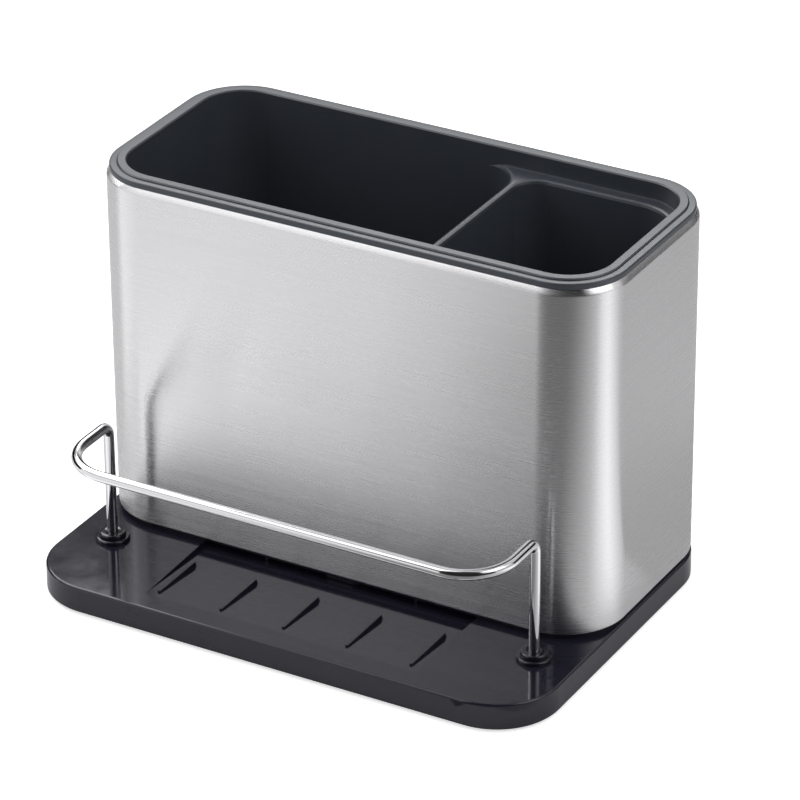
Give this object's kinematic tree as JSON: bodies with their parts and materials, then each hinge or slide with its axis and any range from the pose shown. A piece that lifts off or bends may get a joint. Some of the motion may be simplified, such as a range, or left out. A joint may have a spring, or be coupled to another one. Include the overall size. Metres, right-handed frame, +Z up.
{
  "type": "kitchen sink caddy",
  "caption": "Sink caddy with a brushed steel container, a lift-out liner split into a wide and a small compartment, and a ribbed draining deck with a bent wire rail.",
  "frame": {"origin": "centre of the overall footprint, on the plane the rubber feet stand on", "axes": "+X along the width to the right as seen from the front, +Y from the deck with the rail towards the container's back, +Z up"},
  "size_m": [0.208, 0.1472, 0.1519],
  "materials": {
    "base_plastic": "moulded, semi-gloss black",
    "rail_wire": "polished",
    "grommet_plastic": "moulded, glossy black",
    "spring_steel": "stamped, plain",
    "foot_rubber": "matt black",
    "sleeve_steel": "brushed along its length",
    "collar_plastic": "moulded, semi-gloss black",
    "frame_plastic": "moulded, satin black",
    "liner_plastic": "moulded, semi-gloss black"
  },
  "bodies": {
    "base": {"base_tray": "base_plastic", "guard_rail": "rail_wire", "rail_grommet_left": "grommet_plastic", "rail_grommet_right": "grommet_plastic", "rail_washer_left": "spring_steel", "rail_washer_right": "spring_steel", "foot_front_left": "foot_rubber", "foot_front_right": "foot_rubber", "foot_rear_left": "foot_rubber", "foot_rear_right": "foot_rubber"},
    "container": {"steel_sleeve": "sleeve_steel", "top_collar": "collar_plastic", "bottom_frame": "frame_plastic"},
    "liner": {"inner_liner": "liner_plastic"}
  },
  "joints": [
    {"name": "container_lift", "type": "slide", "parent": "base", "child": "container", "axis": [0, 0, 1], "range_m": [0, 0.06]},
    {"name": "liner_lift", "type": "slide", "parent": "container", "child": "liner", "axis": [0, 0, 1], "range_m": [0, 0.14]}
  ]
}
